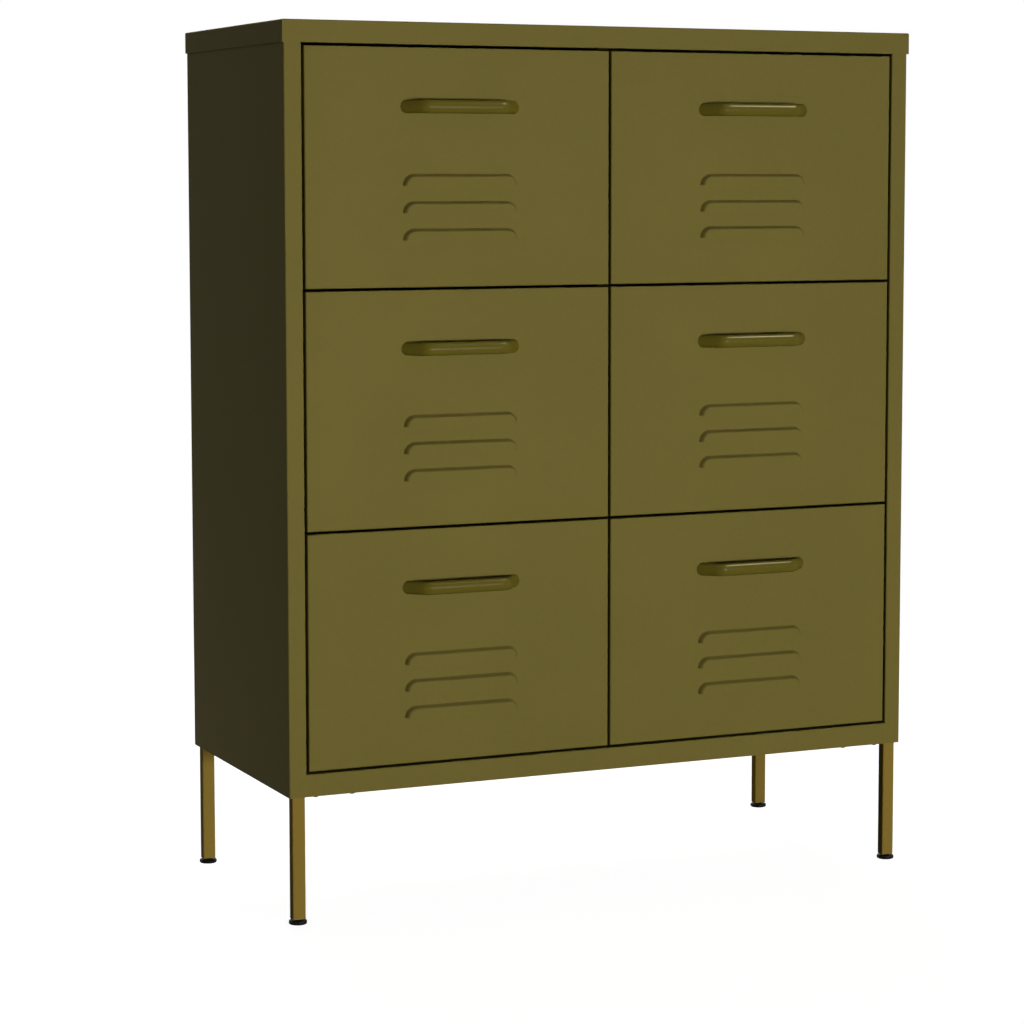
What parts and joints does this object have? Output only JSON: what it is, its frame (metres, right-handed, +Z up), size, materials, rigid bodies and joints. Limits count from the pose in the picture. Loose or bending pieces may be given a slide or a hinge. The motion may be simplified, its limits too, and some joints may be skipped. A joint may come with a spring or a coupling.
{
  "type": "drawer cabinet",
  "caption": "Free-standing folded-steel drawer cabinet: side-by-side columns of drawers on ball-bearing slides, pressed louvres, bow handles and slim tube legs with levelling feet.",
  "frame": {"origin": "on the floor, below the centre of the bounding box, handles included", "axes": "+X to the right seen from the front, +Y from the front to the back, +Z up"},
  "size_m": [0.8, 0.3704, 1.015],
  "materials": {
    "olive_paint": "satin olive powder coat on folded steel sheet",
    "zinc_steel": "bright zinc plate",
    "black_plastic": "matt black nylon"
  },
  "bodies": {
    "cabinet": {"top_panel": "olive_paint", "left_side_panel": "olive_paint", "right_side_panel": "olive_paint", "back_panel": "olive_paint", "bottom_panel": "olive_paint", "centre_divider": "olive_paint", "left_posts": "olive_paint", "right_posts": "olive_paint", "leg_inserts": "black_plastic", "leg_screws": "zinc_steel", "lid_nuts": "zinc_steel", "back_screws": "zinc_steel", "slide_screws": "zinc_steel", "left_slide_rails": "zinc_steel", "right_slide_rails": "zinc_steel", "front_left_leg": "olive_paint", "front_right_leg": "olive_paint", "back_left_leg": "olive_paint", "back_right_leg": "olive_paint"},
    "bottom_left_drawer": {"bottom_left_front": "olive_paint", "bottom_left_box": "olive_paint", "bottom_left_handle": "olive_paint", "bottom_left_handle_screws": "zinc_steel", "bottom_left_runners": "zinc_steel"},
    "bottom_left_cages": {"bottom_left_ball_cages": "zinc_steel"},
    "bottom_right_drawer": {"bottom_right_front": "olive_paint", "bottom_right_box": "olive_paint", "bottom_right_handle": "olive_paint", "bottom_right_handle_screws": "zinc_steel", "bottom_right_runners": "zinc_steel"},
    "bottom_right_cages": {"bottom_right_ball_cages": "zinc_steel"},
    "middle_left_drawer": {"middle_left_front": "olive_paint", "middle_left_box": "olive_paint", "middle_left_handle": "olive_paint", "middle_left_handle_screws": "zinc_steel", "middle_left_runners": "zinc_steel"},
    "middle_left_cages": {"middle_left_ball_cages": "zinc_steel"},
    "middle_right_drawer": {"middle_right_front": "olive_paint", "middle_right_box": "olive_paint", "middle_right_handle": "olive_paint", "middle_right_handle_screws": "zinc_steel", "middle_right_runners": "zinc_steel"},
    "middle_right_cages": {"middle_right_ball_cages": "zinc_steel"},
    "top_left_drawer": {"top_left_front": "olive_paint", "top_left_box": "olive_paint", "top_left_handle": "olive_paint", "top_left_handle_screws": "zinc_steel", "top_left_runners": "zinc_steel"},
    "top_left_cages": {"top_left_ball_cages": "zinc_steel"},
    "top_right_drawer": {"top_right_front": "olive_paint", "top_right_box": "olive_paint", "top_right_handle": "olive_paint", "top_right_handle_screws": "zinc_steel", "top_right_runners": "zinc_steel"},
    "top_right_cages": {"top_right_ball_cages": "zinc_steel"},
    "front_left_levelling_foot": {"front_left_foot": "black_plastic"},
    "front_right_levelling_foot": {"front_right_foot": "black_plastic"},
    "back_left_levelling_foot": {"back_left_foot": "black_plastic"},
    "back_right_levelling_foot": {"back_right_foot": "black_plastic"}
  },
  "joints": [
    {"name": "bottom_left_drawer_slide", "type": "slide", "parent": "cabinet", "child": "bottom_left_drawer", "axis": [0, -1, 0], "range_m": [0, 0.225]},
    {"name": "bottom_left_cage_slide", "type": "slide", "parent": "cabinet", "child": "bottom_left_cages", "axis": [0, -1, 0], "range_m": [0, 0.1125]},
    {"name": "bottom_right_drawer_slide", "type": "slide", "parent": "cabinet", "child": "bottom_right_drawer", "axis": [0, -1, 0], "range_m": [0, 0.225]},
    {"name": "bottom_right_cage_slide", "type": "slide", "parent": "cabinet", "child": "bottom_right_cages", "axis": [0, -1, 0], "range_m": [0, 0.1125]},
    {"name": "middle_left_drawer_slide", "type": "slide", "parent": "cabinet", "child": "middle_left_drawer", "axis": [0, -1, 0], "range_m": [0, 0.225]},
    {"name": "middle_left_cage_slide", "type": "slide", "parent": "cabinet", "child": "middle_left_cages", "axis": [0, -1, 0], "range_m": [0, 0.1125]},
    {"name": "middle_right_drawer_slide", "type": "slide", "parent": "cabinet", "child": "middle_right_drawer", "axis": [0, -1, 0], "range_m": [0, 0.225]},
    {"name": "middle_right_cage_slide", "type": "slide", "parent": "cabinet", "child": "middle_right_cages", "axis": [0, -1, 0], "range_m": [0, 0.1125]},
    {"name": "top_left_drawer_slide", "type": "slide", "parent": "cabinet", "child": "top_left_drawer", "axis": [0, -1, 0], "range_m": [0, 0.225]},
    {"name": "top_left_cage_slide", "type": "slide", "parent": "cabinet", "child": "top_left_cages", "axis": [0, -1, 0], "range_m": [0, 0.1125]},
    {"name": "top_right_drawer_slide", "type": "slide", "parent": "cabinet", "child": "top_right_drawer", "axis": [0, -1, 0], "range_m": [0, 0.225]},
    {"name": "top_right_cage_slide", "type": "slide", "parent": "cabinet", "child": "top_right_cages", "axis": [0, -1, 0], "range_m": [0, 0.1125]},
    {"name": "front_left_foot_adjust", "type": "slide", "parent": "cabinet", "child": "front_left_levelling_foot", "axis": [0, 0, -1], "range_m": [0, 0.008]},
    {"name": "front_right_foot_adjust", "type": "slide", "parent": "cabinet", "child": "front_right_levelling_foot", "axis": [0, 0, -1], "range_m": [0, 0.008]},
    {"name": "back_left_foot_adjust", "type": "slide", "parent": "cabinet", "child": "back_left_levelling_foot", "axis": [0, 0, -1], "range_m": [0, 0.008]},
    {"name": "back_right_foot_adjust", "type": "slide", "parent": "cabinet", "child": "back_right_levelling_foot", "axis": [0, 0, -1], "range_m": [0, 0.008]}
  ],
  "couplings": [
    {"joint": "bottom_left_cage_slide", "follows": "bottom_left_drawer_slide", "ratio": 0.5},
    {"joint": "bottom_right_cage_slide", "follows": "bottom_right_drawer_slide", "ratio": 0.5},
    {"joint": "middle_left_cage_slide", "follows": "middle_left_drawer_slide", "ratio": 0.5},
    {"joint": "middle_right_cage_slide", "follows": "middle_right_drawer_slide", "ratio": 0.5},
    {"joint": "top_left_cage_slide", "follows": "top_left_drawer_slide", "ratio": 0.5},
    {"joint": "top_right_cage_slide", "follows": "top_right_drawer_slide", "ratio": 0.5}
  ]
}
